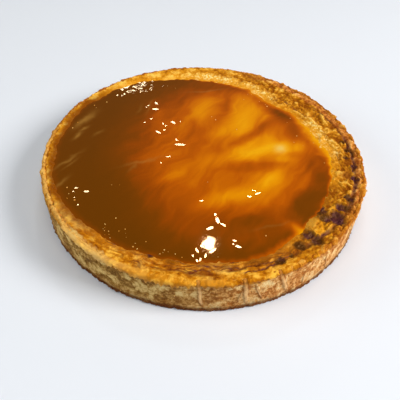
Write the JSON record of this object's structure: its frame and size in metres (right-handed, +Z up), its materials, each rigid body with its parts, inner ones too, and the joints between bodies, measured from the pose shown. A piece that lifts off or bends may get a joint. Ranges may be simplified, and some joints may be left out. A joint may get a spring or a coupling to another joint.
{
  "type": "caramel cheesecake",
  "caption": "Whole round baked cheesecake in a thin pastry crust, its sunken golden top holding a pool of glossy caramel.",
  "frame": {"origin": "middle of the flat underside, on the surface that the cheesecake stands on", "axes": "+Z up through the top. -Y is the side with the sharpest paper folds, towards the viewer. -X is the side where the caramel is deepest and reaches nearest the crust."},
  "size_m": [0.2308, 0.2302, 0.0295],
  "materials": {
    "pastry": null,
    "baked_filling": null,
    "caramel": null
  },
  "bodies": {
    "root": {"crust": "pastry", "filling": "baked_filling", "caramel": "caramel"}
  },
  "joints": []
}
